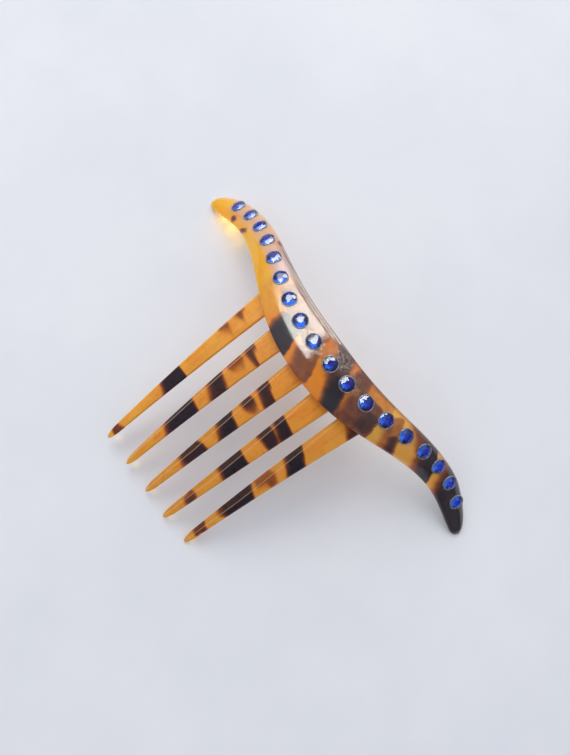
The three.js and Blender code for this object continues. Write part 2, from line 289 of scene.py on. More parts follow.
# ---- the tortoiseshell pattern
# Each blot is a slanted four-sided patch: its middle, half its length and half its width, the heading in
# degrees in which it fades, how softly it starts and ends along that heading (mm), and how dark it gets.
CREST_BLOTS = [
    (-10.8, 2.6, 9.6, 3.6, -12, 7.0, 3.0, 0.22),
    (-10.4, -4.6, 3.9, 5.2, 16, 2.2, 0.5, 0.9),
    (-0.9, -5.2, 3.2, 4.6, 28, 3.6, 0.6, 0.26),
    (-0.6, 2.4, 3.2, 3.6, 10, 2.5, 2.0, 0.0),
    (9.9, -3.8, 2.9, 5.4, 31, 2.2, 1.0, 1.0),
    (5.4, 2.9, 3.1, 5.6, 33, 2.4, 2.0, 0.52),
    (11.8, 4.4, 3.0, 2.9, 12, 2.6, 3.0, 0.36),
    (17.9, -1.4, 5.3, 5.6, 7, 4.5, 0.5, 0.34),
    (20.0, -0.6, 3.0, 3.0, 7, 4.0, 1.4, 0.56),
    (16.6, 5.6, 6.0, 3.6, 7, 3.6, 0.5, 0.0),
    (27.3, 3.4, 2.3, 4.6, 38, 4.6, 0.5, 0.12),
    (28.5, 1.5, 1.7, 2.6, 38, 3.0, 0.6, 0.56),
    (37.3, 8.5, 3.4, 9.0, 40, 5.4, 0.5, 0.86),
    (32.6, 11.0, 3.4, 4.8, 60, 4.6, 2.4, 0.36),
    (56.2, 9.0, 10.2, 12.0, 30, 4.6, 0.5, 0.9),
    (-50.9, 7.4, 1.3, 1.0, 10, 1.2, 1.6, 0.6),
    (-44.8, 6.4, 1.2, 0.9, 10, 1.2, 1.6, 0.55),
    (-24.0, -0.6, 0.5, 1.2, 55, 0.6, 1.0, -0.25),
    (-31.6, 11.4, 2.0, 1.0, 8, 1.2, 1.8, 0.3),
]
# The same on the teeth, after the tooth's number; here x counts from the tooth's centre line.
TOOTH_BLOTS = [
    (0, -0.5, -10.2, 1.8, 2.7, -112, 0.6, 2.4, 0.5),
    (0, -0.7, -15.4, 1.9, 2.4, -104, 1.2, 2.4, 0.28),
    (0, 0.0, -34.8, 3.9, 5.0, -96, 0.6, 2.0, 0.95),
    (0, 0.6, -55.2, 1.7, 3.0, -72, 0.9, 1.6, 0.4),
    (1, -0.9, -14.0, 1.6, 3.7, -108, 0.5, 2.0, 0.5),
    (1, -1.0, -18.4, 2.4, 2.8, -100, 1.5, 2.4, 0.3),
    (1, -0.2, -25.9, 2.9, 4.0, -106, 1.4, 2.6, 0.75),
    (1, 0.0, -38.8, 5.4, 4.6, -102, 0.9, 2.8, 1.0),
    (2, -0.3, -16.9, 1.9, 3.7, -100, 0.5, 1.6, 0.65),
    (2, -0.5, -21.8, 1.9, 2.9, -90, 1.0, 1.6, 0.62),
    (2, 0.0, -29.9, 3.1, 4.4, -104, 0.9, 2.4, 1.0),
    (2, -0.2, -41.6, 4.0, 3.2, -84, 1.0, 2.6, 0.75),
    (3, -0.2, -18.6, 2.0, 4.0, -96, 0.5, 1.6, 0.8),
    (3, -0.4, -22.8, 2.2, 3.4, -90, 0.9, 1.4, 0.78),
    (3, -0.2, -34.6, 4.3, 4.4, -96, 0.7, 1.8, 1.0),
    (3, 0.2, -49.0, 2.2, 1.9, -80, 0.9, 2.2, 0.42),
    (4, 0.2, -3.6, 1.8, 4.4, -110, 0.8, 1.6, 0.5),
    (4, -0.2, -20.5, 2.9, 5.0, -112, 0.7, 1.4, 1.0),
    (4, -0.6, -29.4, 2.8, 2.4, -98, 1.8, 2.4, 0.2),
    (4, -0.6, -39.3, 5.6, 4.0, -108, 1.0, 2.6, 1.0),
    (4, -0.5, -52.2, 2.5, 2.0, -100, 0.9, 2.0, 0.45),
]
SIDE_SOFTNESS = 1.2    # how softly a blot ends along its sides, in millimetres
OUTSIDE = -1.5         # the pattern's value well away from any blot; 0 is a blot's edge, 1 is full dark
WAVE_REACH = 0.3       # how far the blots' edges wander in long waves,
RIPPLE_REACH = 0.09    # and in short ones
NO_RIDGE = 9.0         # the ridge gap where there is no ridge
ROOT_CLEARANCE = 1.0   # the ridges are looked for from this far out of the spine's edge
SIDE_ALLOWANCE = 0.3   # a point this far past a tooth's side still counts as on it


def blot_value(x, y, blot):
    """How dark one blot makes the point: distances inside its edges, over each edge's softness."""
    middle_x, middle_y, half_length, half_width, heading, start_soft, end_soft, dark = blot
    angle = math.radians(heading)
    along = (x - middle_x) * math.cos(angle) + (y - middle_y) * math.sin(angle)
    across = -(x - middle_x) * math.sin(angle) + (y - middle_y) * math.cos(angle)
    inside = [(half_length + along) / start_soft, (half_length - along) / end_soft,
              (half_width - np.abs(across)) / SIDE_SOFTNESS]
    short = [np.maximum(0.0, 1.0 - share) for share in inside]
    return np.minimum(1.0 - np.sqrt(sum(gap**2 for gap in short)), dark)


def wandering(x, y):
    """The point moved a little, so that the blots' edges wander."""
    shift_x = WAVE_REACH * np.sin(0.9 * y + 0.5 * x + 1.0) + RIPPLE_REACH * np.sin(2.3 * y - 0.8 * x)
    shift_y = WAVE_REACH * np.sin(0.8 * x + 0.4 * y) + RIPPLE_REACH * np.sin(2.1 * x + 0.9 * y + 2.0)
    return x + shift_x, y + shift_y


def tooth_span(number):
    """Where a tooth starts under the crest, along Y, and its length from there to its tip."""
    root_y = lower_edge(TOOTH_ROOTS[number]) + SPINE_SETBACK
    return root_y, root_y - TOOTH_END_Y - TIP_WEAR[number]


def tooth_centre(number, y):
    """X of a tooth's centre line at y."""
    root_x, tip_x = TOOTH_ROOTS[number], TOOTH_TIPS[number]
    root_y, length = tooth_span(number)
    share = min(max((root_y - y) / length, 0.0), 1.0)
    return root_x + (tip_x - root_x) * share + 4 * TOOTH_BOWS[number] * share * (1 - share)


def store_pattern(piece, name, value_at):
    """Keeps a value on the mesh as a point attribute, one for each vertex."""
    mesh = piece.data
    co = np.empty(len(mesh.vertices) * 3)
    mesh.vertices.foreach_get("co", co)
    local = co.reshape(-1, 3) / MM - np.array(ORIGIN)
    attribute = mesh.attributes.new(name, "FLOAT", "POINT")
    attribute.data.foreach_set("value", value_at(local[:, 0], local[:, 1]).astype(np.float32))


def crest_pattern(x, y):
    """How dark the crest's blots make each point."""
    x, y = wandering(x, y)
    value = np.full(len(x), OUTSIDE)
    for blot in CREST_BLOTS:
        value = np.maximum(value, blot_value(x, y, blot))
    return value


def back_edge_gap(x, y):
    """How far inside the crest's long upper edge, in millimetres."""
    edge = np.array([upper_edge(min(max(at, -HALF_SPAN), HALF_SPAN)) for at in x])
    return edge - y


def ridge_gap(x, y):
    """How far to the right of its tooth's left ridge a point lies, in millimetres."""
    gap = np.full(len(x), NO_RIDGE)
    for number, root_x in enumerate(TOOTH_ROOTS):
        root_y, length = tooth_span(number)
        near = (y < root_y - ROOT_CLEARANCE) & (np.abs(x - root_x) < TOOTH_ROOT_WIDTH)
        for i in np.flatnonzero(near):
            share = (root_y - y[i]) / length
            width, left = tooth_widths(number, share, nose_taper(length, root_y - y[i]))
            from_centre = x[i] - tooth_centre(number, y[i])
            if abs(from_centre) < width / 2 + SIDE_ALLOWANCE:
                gap[i] = from_centre + width / 2 - left
    return gap


def tooth_pattern(x, y):
    """How dark the teeth's blots make each point."""
    x, y = wandering(x, y)
    value = np.full(len(x), OUTSIDE)
    for number, across, along, *rest in TOOTH_BLOTS:
        middle_x = tooth_centre(number, along) + across
        value = np.maximum(value, blot_value(x, y, (middle_x, along, *rest)))
    return value


# ---- the crest
CREST_STATIONS = 240   # per side
TIP_END = 0.99999      # the last section's share of the half span: almost a point, so the tips end round
TIP_FALL_LENGTH = 1.3  # over which the very end also rounds down,
TIP_FALL_SHARE = 0.5   # by this share of its thickness
CREST_DOME_STEPS = 30
BACK_STEPS, BOTTOM_STEPS = 9, 9
# The rounds of the top front, top back and bottom edges: the most in millimetres, then the most as a share
# of the wall's height and of the crest's width.
CREST_ROUNDS = [(0.34, 0.45, 0.12), (1.1, 0.75, 0.14), (0.14, 0.2, 0.1)]
SEAT_SIDES, SEAT_FLOOR_SHARE, CUTTER_TOP = 48, 0.35, 1.5


def crest_ring(x):
    """One upright section: flat below, short walls, rounded corners and a domed top."""
    low, high, ridge = lower_edge(x), upper_edge(x), ridge_line(x)
    bottom = underside(x)
    nose = max(0.0, 1 - (HALF_SPAN - abs(x)) / TIP_FALL_LENGTH)
    rise = (-arch_drop(x) - bottom) * (1 - TIP_FALL_SHARE * nose**2)
    wall = EDGE_SHARE * rise
    top_round, back_round, bottom_round = (
        min(most, of_wall * wall, of_width * (high - low)) for most, of_wall, of_width in CREST_ROUNDS
    )

    def dome(across):
        width = (ridge - low) if across < 0 else (high - ridge)
        return np.array([ridge + across * width, rise * (EDGE_SHARE + (1 - EDGE_SHARE) * (1 - across**2))])

    inset_low = top_round / max(ridge - low, 1e-6)
    inset_high = back_round / max(high - ridge, 1e-6)
    bottom_ys = np.linspace(high - bottom_round, low + bottom_round, BOTTOM_STEPS)
    outline = [np.array([y, 0.0]) for y in bottom_ys[1:-1]]
    outline += curve((low + bottom_round, 0.0), (low, 0.0), (low, bottom_round))
    outline += curve((low, wall - top_round), (low, wall), dome(-1 + inset_low))
    outline += [dome(a) for a in np.linspace(-1 + inset_low, 1 - inset_high, CREST_DOME_STEPS + 1)][1:-1]
    outline += curve(dome(1 - inset_high), (high, wall), (high, wall - back_round), BACK_STEPS)
    outline += curve((high, bottom_round), (high, 0.0), (high - bottom_round, 0.0))
    return np.array([(x, y, bottom + z) for y, z in outline])


def make_crest():
    """The crest band with its 18 seats and its stored patterns."""
    stations = [
        HALF_SPAN * TIP_END * math.sin(i / CREST_STATIONS * math.pi / 2)
        for i in range(-CREST_STATIONS, CREST_STATIONS + 1)
    ]
    points, faces = loft([crest_ring(x) for x in stations])
    crest = new_object("crest", place(points), faces)
    cutter_points, cutter_faces = closed_seat()
    cutters = joined([(at_stone(n, cutter_points), cutter_faces) for n in STONE_PLACES])
    boolean(crest, new_object("seats", *cutters), "DIFFERENCE")
    smooth(crest.data, SMOOTH_BELOW)
    store_pattern(crest, "shell_dark", crest_pattern)
    store_pattern(crest, "edge_gap", back_edge_gap)
    return crest


def closed_seat():
    """The seat cutter as a solid with single points on its axis."""
    radius = STONE_RADIUS + CEMENT_WALL + 2 * FIT_GAP
    shoulder = -FOIL_THICKNESS - CEMENT_WALL
    rings = [(radius * SEAT_FLOOR_SHARE, -SEAT_DEPTH), (radius, shoulder), (radius, CUTTER_TOP)]
    points = [(0.0, 0.0, -SEAT_DEPTH), (0.0, 0.0, CUTTER_TOP)]
    for ring_radius, height in rings:
        points += circle(SEAT_SIDES, ring_radius, height)
    faces = []
    for k in range(SEAT_SIDES):
        after = (k + 1) % SEAT_SIDES
        faces.append((0, 2 + after, 2 + k))
        for ring in range(len(rings) - 1):
            base = 2 + ring * SEAT_SIDES
            faces.append((base + k, base + after, base + SEAT_SIDES + after, base + SEAT_SIDES + k))
        top = 2 + (len(rings) - 1) * SEAT_SIDES
        faces.append((1, top + k, top + after))
    return points, faces


# ---- the tooth plate and its cement seam
TOOTH_STEPS = 110
NOSE_STEPS = 14
NOSE_STOP = 0.965                                    # the nose's last section, just short of a point
TOOTH_EDGE_ROUNDS = [0.16, 0.1, 0.1, 0.16, 0.1, 0.1]  # from the left side, over the top and back
LEAST_TAPER = 0.05                                   # for those rounds, at the very tip
LAYER_SECTIONS = 97
SPINE_ROUND, SEAM_ROUND = 0.12, 0.1


def layer_top(x, depth):
    """Z of a layer's top, at a depth under the crest's back, which is scraped flat in the middle."""
    lift = ridge_thickness(BACK_FLAT) / math.cos(slope_at(BACK_FLAT))
    from_band = underside(x) if abs(x) > BACK_FLAT else -arch_drop(BACK_FLAT) - lift
    return from_band - depth


def bent_layer(half_length, depth, thickness, inset, round_off):
    """A strip of even thickness that follows the crest's tooth side edge and its back."""
    rings = []
    for x in np.linspace(-half_length, half_length, LAYER_SECTIONS):
        front = lower_edge(x) + SPINE_SETBACK + inset
        back = front + SPINE_WIDTH - 2 * inset
        top = layer_top(x, depth)
        corners = [(back, top - thickness), (front, top - thickness), (front, top), (back, top)]
        outline = rounded(corners, [round_off] * 4)
        rings.append(np.array([(x, y, z) for y, z in outline]))
    return loft(rings)


def nose_taper(length, along):
    """How much of its width a tooth keeps near its rounded end, from 1 down to 0."""
    nose = max(0.0, 1 - (length - along) / TOOTH_NOSE)
    return math.sqrt(max(0.0, 1 - nose**2))


def tooth_widths(number, share, taper):
    """A tooth's full width and the width of its left bevel."""
    width = (TOOTH_ROOT_WIDTH + (TOOTH_TIP_WIDTH - TOOTH_ROOT_WIDTH) * share) * taper
    worn_share = WORN_BEVEL_SHARES[number] - ROOT_BEVEL_SHARE
    return width, width * (ROOT_BEVEL_SHARE + worn_share * min(1.0, share / BEVEL_FULL_AT))


def tooth_ring(number, along):
    """One section across a tooth: flat below, a wide bevel on its left, a narrow one on its right."""
    root_y, length = tooth_span(number)
    roll = (number - MIDDLE_TOOTH) * TOOTH_ROLL
    root_top = layer_top(TOOTH_ROOTS[number], SEAM_THICKNESS + 2 * FIT_GAP) - ROOT_STEP
    arch_height = ORIGIN.z
    tip_top = TIP_HEIGHTS[number] + TOOTH_TIP_THICKNESS - arch_height
    curve = (root_top - tip_top - TOOTH_ROOT_SLOPE * length) / length**2
    beyond = max(0.0, along)
    share = beyond / length
    taper = nose_taper(length, along)
    width, left = tooth_widths(number, share, taper)
    full_thickness = TOOTH_THICKNESS + (TOOTH_TIP_THICKNESS - TOOTH_THICKNESS) * share
    thickness = full_thickness * (TOOTH_POINT_SHARE + (1 - TOOTH_POINT_SHARE) * taper)
    right = min(RIGHT_BEVEL, width * RIGHT_BEVEL_SHARE)
    foot = min(FOOT_BEVEL, width * FOOT_BEVEL_SHARE)
    centre_x = tooth_centre(number, root_y - along)
    underside_z = root_top - full_thickness - TOOTH_ROOT_SLOPE * beyond - curve * beyond**2
    corners = [
        (-width / 2, thickness * TOOTH_SIDE_SHARE),
        (-width / 2 + left, thickness),
        (width / 2 - right, thickness),
        (width / 2, thickness * TOOTH_SIDE_SHARE),
        (width / 2 - foot, 0.0),
        (-width / 2 + foot, 0.0),
    ]
    radii = [radius * max(taper, LEAST_TAPER) for radius in TOOTH_EDGE_ROUNDS]
    return np.array([
        (centre_x + across, root_y - along, underside_z + height - roll * across)
        for across, height in rounded(corners, radii)
    ])


def make_tooth(number):
    """One tooth as points and faces, from inside the spine to its rounded tip."""
    _, length = tooth_span(number)
    steps = [length * i / TOOTH_STEPS for i in range(TOOTH_STEPS)]
    straight = [along for along in steps if along < length - TOOTH_NOSE]
    nose_shares = np.linspace(0, NOSE_STOP, NOSE_STEPS)
    nose = [length - TOOTH_NOSE * (1 - math.sin(share * math.pi / 2)) for share in nose_shares]
    return loft([tooth_ring(number, along) for along in [-TOOTH_OVERLAP, *straight, *nose]])


def make_tooth_plate():
    """The spine and its five teeth as one body, with their stored patterns."""
    depth = SEAM_THICKNESS + 2 * FIT_GAP
    points, faces = bent_layer(SPINE_HALF_LENGTH, depth, SPINE_THICKNESS, 0.0, SPINE_ROUND)
    plate = new_object("tooth_plate", place(points), faces)
    teeth_points, teeth_faces = joined([make_tooth(number) for number in range(len(TIP_HEIGHTS))])
    boolean(plate, new_object("teeth", place(teeth_points), teeth_faces), "UNION")
    smooth(plate.data, TOOTH_SMOOTH_BELOW)
    store_pattern(plate, "shell_dark", tooth_pattern)
    store_pattern(plate, "ridge_gap", ridge_gap)
    return plate


def make_seam():
    """The thin layer of cement between the crest's back and the spine."""
    half_length = SPINE_HALF_LENGTH - SEAM_INSET
    points, faces = bent_layer(half_length, FIT_GAP, SEAM_THICKNESS, SEAM_INSET, SEAM_ROUND)
    return new_object("glue_seam", place(points), faces, SMOOTH_BELOW)


# ---- rhinestones, foils and cement
FACETS = 8
CROWN_MIDDLE_RADIUS = 1.5     # where the crown's kite facets are widest
PAVILION_MIDDLE_RADIUS = 0.8  # and where the pavilion's are, with their height:
PAVILION_MIDDLE_SHARE = PAVILION_MIDDLE_RADIUS * math.cos(math.pi / FACETS) / STONE_RADIUS
PAVILION_MIDDLE_Z = -PAVILION_DEPTH * (1 - PAVILION_MIDDLE_SHARE)
GOLDEN_TURN = math.radians(137.5)
CEMENT_SIDES, CEMENT_HOLE, CEMENT_FLOOR_SHARE = 48, 0.3, 0.33
BEAD_HEIGHT, BEAD_CLEARANCE, BEAD_SWELL, BEAD_LIP, BEAD_WAVE = 0.15, 0.03, 0.03, 0.02, 0.02
FOIL_RISE = 0.16              # how far the foil has risen from its point at the edge of the cement's hole


def stone_shape():
    """A chaton cut: octagonal table, kite and star facets, a thin girdle, and a faceted pavilion."""
    half = math.pi / FACETS
    crown_fall = (CROWN_HEIGHT - GIRDLE_HEIGHT) / (STONE_RADIUS - TABLE_RADIUS)
    kite_z = CROWN_HEIGHT - crown_fall * (CROWN_MIDDLE_RADIUS * math.cos(half) - TABLE_RADIUS)
    table = circle(FACETS, TABLE_RADIUS, CROWN_HEIGHT)
    kites = circle(FACETS, CROWN_MIDDLE_RADIUS, kite_z, 0.5)
    girdle_top = circle(2 * FACETS, STONE_RADIUS, GIRDLE_HEIGHT)
    girdle_low = circle(2 * FACETS, STONE_RADIUS, 0.0)
    pavilion = circle(FACETS, PAVILION_MIDDLE_RADIUS, PAVILION_MIDDLE_Z, 0.5)
    points = [*table, *kites, *girdle_top, *girdle_low, *pavilion, (0.0, 0.0, -PAVILION_DEPTH)]
    t, m, g, b, p, apex = 0, FACETS, 2 * FACETS, 4 * FACETS, 6 * FACETS, 7 * FACETS
    faces = [tuple(t + k for k in range(FACETS))]
    for k in range(FACETS):
        after, before = (k + 1) % FACETS, (k - 1) % FACETS
        g0, g1, g2 = 2 * k, 2 * k + 1, (2 * k + 2) % (2 * FACETS)
        faces.append((t + k, m + k, t + after))
        faces.append((t + k, m + before, g + g0, m + k))
        faces.append((m + k, g + g0, g + g1))
        faces.append((m + k, g + g1, g + g2))
        faces.append((g + g0, b + g0, b + g1, g + g1))
        faces.append((g + g1, b + g1, b + g2, g + g2))
        faces.append((b + g0, p + k, b + g1))
        faces.append((b + g1, p + k, b + g2))
        faces.append((b + g0, p + before, apex, p + k))
    return points, faces


def foil_shape():
    """The mirror cup behind a stone: two faceted cones, one inside the other, joined at the rim."""
    points, faces = [], []
    for drop in (FIT_GAP, FIT_GAP + FOIL_THICKNESS):
        points += circle(2 * FACETS, STONE_RADIUS, -drop)
        points += circle(FACETS, PAVILION_MIDDLE_RADIUS, PAVILION_MIDDLE_Z - drop, 0.5)
        points.append((0.0, 0.0, -PAVILION_DEPTH - drop))
    layer = 3 * FACETS + 1
    for k in range(FACETS):
        before = (k - 1) % FACETS
        g0, g1, g2 = 2 * k, 2 * k + 1, (2 * k + 2) % (2 * FACETS)
        middle, middle_before, apex = 2 * FACETS + k, 2 * FACETS + before, 3 * FACETS
        inner = [(g0, g1, middle), (g1, g2, middle), (g0, middle, apex, middle_before)]
        faces += inner
        faces += [tuple(layer + i for i in reversed(face)) for face in inner]
        faces += [(g0, layer + g0, layer + g1, g1), (g1, layer + g1, layer + g2, g2)]
    return points, faces


def cement_shape(number):
    """The bedding of one stone: a bowl under the foil and an uneven bead round the girdle."""
    inner = STONE_RADIUS + BEAD_CLEARANCE
    outer = STONE_RADIUS + CEMENT_WALL + FIT_GAP
    foil_low = PAVILION_DEPTH + 2 * FIT_GAP + FOIL_THICKNESS
    profile = [
        (CEMENT_HOLE, -SEAT_DEPTH + FIT_GAP),
        (outer * CEMENT_FLOOR_SHARE, -SEAT_DEPTH + FIT_GAP),
        (outer, -FOIL_THICKNESS - CEMENT_WALL + FIT_GAP),
        (outer + BEAD_SWELL, BEAD_LIP),
        (outer - BEAD_LIP, BEAD_HEIGHT * 0.75),
        ((inner + outer) / 2, BEAD_HEIGHT),
        (inner + BEAD_SWELL, BEAD_HEIGHT * 0.8),
        (inner, GIRDLE_HEIGHT * 0.4),
        (inner, -2 * FIT_GAP - FOIL_THICKNESS),
        (CEMENT_HOLE, -foil_low + FOIL_RISE),
    ]

    def wobble(angle, radius):
        rim = max(0.0, radius - STONE_RADIUS) / (outer - STONE_RADIUS)
        wave = math.sin(3 * angle + number) + 0.6 * math.sin(7 * angle + 2.3 * number)
        return BEAD_WAVE * rim * wave

    return turned(profile, CEMENT_SIDES, wobble)


def make_setting(number):
    """The stone, its foil and its cement, as three pieces."""
    spin = GOLDEN_TURN * number
    points, faces = stone_shape()
    stone = new_object(f"stone_{number:02d}", at_stone(number, points, spin), faces)
    points, faces = foil_shape()
    foil = new_object(f"foil_{number:02d}", at_stone(number, points, spin), faces)
    points, faces = cement_shape(number)
    cement = new_object(f"cement_{number:02d}", at_stone(number, points), faces, CEMENT_SMOOTH_BELOW)
    return stone, foil, cement


# ---- materials
def rgb(red, green, blue):
    """A screen colour, 0 to 255, as the linear colour that shaders take."""
    def linear(value):
        value /= 255
        return value / 12.92 if value <= 0.04045 else ((value + 0.055) / 1.055) ** 2.4
    return (linear(red), linear(green), linear(blue), 1.0)


class Nodes:
    """A node tree, with one short call for each kind of node."""

    def __init__(self, tree):
        self.tree = tree

    def feed(self, socket, value):
        if isinstance(value, bpy.types.NodeSocket):
            self.tree.links.new(value, socket)
        else:
            socket.default_value = value

    def node(self, kind, inputs=(), **settings):
        made = self.tree.nodes.new(kind)
        for key, value in settings.items():
            setattr(made, key, value)
        for key, value in dict(inputs).items():
            self.feed(made.inputs[key], value)
        return made

    def scaled(self, vector, scale):
        return self.node("ShaderNodeMapping", {"Vector": vector, "Scale": scale}).outputs[0]

    def math(self, operation, first, second=0.0):
        return self.node("ShaderNodeMath", {0: first, 1: second}, operation=operation).outputs[0]

    def times(self, first, second):
        return self.math("MULTIPLY", first, second)

    def vector(self, operation, *vectors):
        return self.node("ShaderNodeVectorMath", enumerate(vectors), operation=operation)

    def noise(self, vector, scale, detail=3.0, roughness=0.5, distortion=0.0):
        inputs = {"Vector": vector, "Scale": scale, "Detail": detail, "Roughness": roughness}
        return self.node("ShaderNodeTexNoise", {**inputs, "Distortion": distortion}).outputs[0]

    def spread(self, value, low, high, start=0.0, end=1.0):
        """The value from low to high, as a smooth step from start to end."""
        inputs = {"Value": value, "From Min": low, "From Max": high, "To Min": start, "To Max": end}
        return self.node("ShaderNodeMapRange", inputs, interpolation_type="SMOOTHSTEP").outputs[0]

    def ramp(self, value, stops):
        made = self.node("ShaderNodeValToRGB", {0: value})
        elements = made.color_ramp.elements
        while len(elements) < len(stops):
            elements.new(0.5)
        for element, (position, colour) in zip(elements, stops):
            element.position = position
            element.color = colour
        return made.outputs[0]

    def mix(self, share, first, second):
        return self.node("ShaderNodeMix", {0: share, 6: first, 7: second}, data_type="RGBA").outputs[2]

    def attribute(self, name):
        return self.node("ShaderNodeAttribute", attribute_name=name).outputs["Fac"]

    def bump(self, height, strength, distance):
        inputs = {"Height": height, "Strength": strength, "Distance": distance}
        return self.node("ShaderNodeBump", inputs).outputs[0]


class Surface(Nodes):
    """A new material's node tree. Its place is the point being coloured, in the frame's millimetres."""

    def __init__(self, name):
        self.material = bpy.data.materials.new(name)
        self.material.use_nodes = True
        super().__init__(self.material.node_tree)
        self.shader = self.tree.nodes["Principled BSDF"]
        coordinates = self.node("ShaderNodeTexCoord")
        self.place = self.scaled(coordinates.outputs["Object"], (1 / MM, 1 / MM, 1 / MM))

    def finish(self, **values):
        """Sets the shader's sockets by name, with _ for a space."""
        for key, value in values.items():
            self.feed(self.shader.inputs[key.replace("_", " ")], value)
        return self.material


def scratches(n, vector, stretch, scale, cover):
    """Fine straight hairlines: noise drawn out along one direction and cut to its thinnest peaks."""
    drawn = n.noise(n.scaled(vector, stretch), scale, 2.0, 0.6, 0.3)
    return n.spread(drawn, 1 - cover, 1 - cover + 0.06)


# Painted shade and highlight along the crest's back edge, dark, pale and dark: how far inside it each line
# lies (mm), its colour and its strength.
EDGE_SHADE_AND_HIGHLIGHT_LINES = [(0.1, rgb(84, 78, 80), 0.9), (0.5, rgb(206, 198, 194), 0.65), (0.95, rgb(62, 54, 56), 0.9)]
# Where old glue gathers: the spot's x, y and radius in the comb's millimetres.
GLUE_SPOTS = [
    (5.4, 3.4, 3.6), (-7.4, 0.8, 2.4), (-1.6, 0.0, 2.4),
    (9.6, 3.4, 3.2), (13.2, 2.0, 2.6), (2.6, 3.0, 2.6),
]


def celluloid(name, amber, deep_amber, middle_orange, bright_amber, streak_stretch, shine, rough, on_crest):
    """Tortoiseshell celluloid: amber with drawn-out streaks and through-thickness brown blots."""
    n = Surface(name)
    x_place = n.node("ShaderNodeSeparateXYZ", {0: n.place}).outputs[0]
    from_middle = n.math("ABSOLUTE", n.math("ADD", x_place, 1.0))
    slow = n.noise(n.place, 0.1, 3.0, 0.55)
    streaks = n.noise(n.scaled(n.place, streak_stretch), 1.0, 4.0, 0.6, 0.4)
    body = n.mix(n.spread(slow, 0.35, 0.68), amber, deep_amber)
    body = n.mix(n.spread(from_middle, 24.0, 8.0, 0.0, 0.85), body, middle_orange)
    body = n.mix(n.spread(streaks, 0.45, 0.8, 0.0, 0.4), body, rgb(190, 104, 26))
    motes = n.noise(n.place, 1.9, 2.0, 0.5)
    body = n.mix(n.spread(motes, 0.7, 0.78, 0.0, 0.55), body, rgb(120, 60, 18))
    wander = n.times(n.math("SUBTRACT", n.noise(n.place, 0.5, 1.0, 0.5), 0.5), 0.3)
    fray = n.times(n.math("SUBTRACT", n.noise(n.place, 2.6, 3.0, 0.6), 0.5), 0.1)
    dark = n.spread(n.math("ADD", n.attribute("shell_dark"), n.math("ADD", wander, fray)), -0.55, 1.0)
    blot = n.ramp(dark, [
        (0.0, rgb(212, 126, 46)),
        (0.4, rgb(172, 98, 48)),
        (0.72, rgb(96, 58, 48)),
        (1.0, rgb(48, 42, 50)),
    ])
    body = n.mix(n.spread(x_place, 14.0, 26.0), body, n.mix(0.75, body, bright_amber))
    if on_crest:
        # painted reflection along the left wing's back and a painted glow of light through its front and end
        body = left_wing_reflection_and_glow(n, x_place, body)
    colour = n.mix(n.spread(dark, 0.0, 0.5), body, blot)
    hair = scratches(n, n.place, (0.25, 3.0, 1.0), 2.2, 0.32)
    hair_across = scratches(n, n.place, (2.6, 0.3, 1.0), 1.7, 0.3)
    worn = n.math("MAXIMUM", hair, hair_across)
    satin = n.spread(n.noise(n.place, 0.5, 4.0), 0.3, 0.75, rough, rough + 0.1)
    roughness = n.math("ADD", satin, n.times(worn, 0.12))
    ripple = n.noise(n.place, 0.8, 2.0, 0.5)
    height = n.math("ADD", ripple, n.times(worn, -0.18))
    if on_crest:
        # painted shade and a painted highlight along the crest's back edge
        colour = edge_shade_and_highlight_lines(n, x_place, colour)
        residue = glue_residue(n)
        tone = n.mix(n.noise(n.place, 1.1, 2.0), rgb(84, 84, 62), rgb(206, 194, 150))
        colour = n.mix(n.times(residue, 0.6), colour, tone)
        roughness = n.math("ADD", roughness, n.times(residue, 0.25))
        height = n.math("ADD", height, n.times(residue, 0.8))
    else:
        # painted shade on the teeth's left bevels and a painted highlight along their ridges
        colour = tooth_bevel_shade_and_ridge_highlight(n, colour, dark)
    return n.finish(
        Base_Color=colour,
        Roughness=roughness,
        IOR=1.52,
        Specular_IOR_Level=shine,
        Transmission_Weight=0.05,
        Subsurface_Weight=0.75,
        Subsurface_Radius=(0.0035, 0.0017, 0.0004),
        Subsurface_Scale=1.0,
        Normal=n.bump(height, 0.25, 0.00006),
    )


def tooth_bevel_shade_and_ridge_highlight(n, colour, dark):
    """Painted light on a tooth: its left bevel is darkened as painted shade, least over a dark blot, and a
    pale painted highlight runs along the ridge beside it.
    """
    past_ridge = n.attribute("ridge_gap")
    over_amber = n.spread(dark, 0.3, 0.7, 1.0, 0.25)
    # painted shade: the left bevel is darkened, least over a dark blot
    bevel_shade = n.times(over_amber, n.spread(past_ridge, 0.1, -0.25, 0.0, 0.32))
    # painted highlight: a pale line along the ridge beside the bevel
    ridge = n.spread(n.math("ABSOLUTE", past_ridge), 0.17, 0.04, 0.0, 0.38)
    return n.mix(ridge, n.mix(bevel_shade, colour, rgb(150, 118, 72)), rgb(240, 214, 170))


def edge_shade_and_highlight_lines(n, x_place, colour):
    """Painted light along the crest's back edge: a band and fine dark lines of painted shade, a pale line of
    painted highlight over the middle, and a brown fringe of painted shade on the right.
    """
    gap = n.attribute("edge_gap")
    lined = n.times(n.spread(x_place, -38.0, -24.0), n.spread(x_place, 7.0, -1.0))
    # painted shade: a greyish band just inside the back edge over the middle
    shade_band = n.times(lined, n.spread(gap, 2.3, 1.2, 0.0, 0.75))
    colour = n.mix(shade_band, colour, rgb(116, 100, 96))
    # two dark lines of painted shade with a pale line of painted highlight between them
    for middle, tone, share in EDGE_SHADE_AND_HIGHLIGHT_LINES:
        off_line = n.math("ABSOLUTE", n.math("SUBTRACT", gap, middle))
        painted_line = n.times(n.spread(off_line, 0.2, 0.06), n.times(lined, share))
        colour = n.mix(painted_line, colour, tone)
    # painted shade: a brown fringe along the back edge on the right
    shade_fringe = n.times(n.spread(x_place, -6.0, 6.0), n.spread(gap, 1.7, 0.1))
    return n.mix(n.times(shade_fringe, 0.75), colour, rgb(92, 72, 66))


